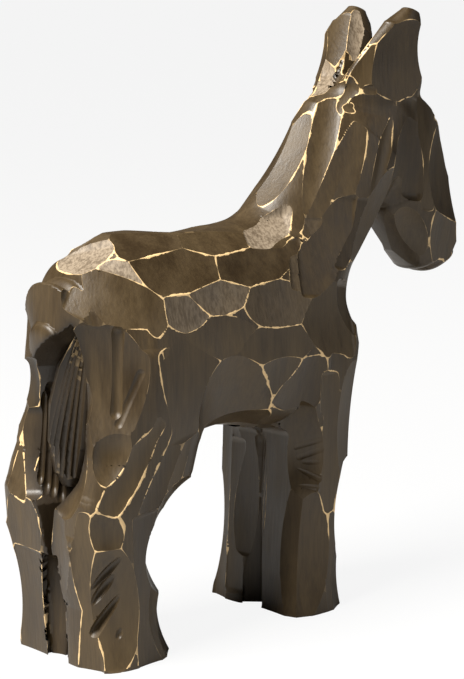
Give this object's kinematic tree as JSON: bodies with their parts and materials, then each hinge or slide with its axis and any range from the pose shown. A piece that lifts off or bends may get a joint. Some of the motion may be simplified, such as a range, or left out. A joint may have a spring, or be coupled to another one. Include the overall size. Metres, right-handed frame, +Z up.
{
  "type": "carved wooden figurine",
  "caption": "Standing horse figurine in dark stained wood, knife-carved in flat facets, with upright ears, a straight neck, block legs and a tail laid between the thighs.",
  "frame": {"origin": "on the ground at the middle of the bounding box", "axes": "+X to the horse's nose, +Y to its left, +Z up"},
  "size_m": [0.153, 0.0436, 0.1695],
  "materials": {
    "stained_wood": "dark brown stain under wax, satin, edges worn pale",
    "dowel_wood": "bare whittled hardwood"
  },
  "bodies": {
    "root": {"trunk": "stained_wood", "neck": "stained_wood", "head": "stained_wood", "ear_left": "stained_wood", "ear_right": "stained_wood", "front_leg_left": "stained_wood", "front_leg_right": "stained_wood", "hind_leg_left": "stained_wood", "hind_leg_right": "stained_wood", "tail": "stained_wood", "dowel_front_leg_left": "dowel_wood", "dowel_front_leg_right": "dowel_wood", "dowel_hind_leg_left": "dowel_wood", "dowel_hind_leg_right": "dowel_wood", "dowel_neck_left": "dowel_wood", "dowel_neck_right": "dowel_wood", "dowel_head_upper": "dowel_wood", "dowel_head_lower": "dowel_wood", "peg_ear_left": "dowel_wood", "peg_ear_right": "dowel_wood", "peg_tail": "dowel_wood"}
  },
  "joints": []
}
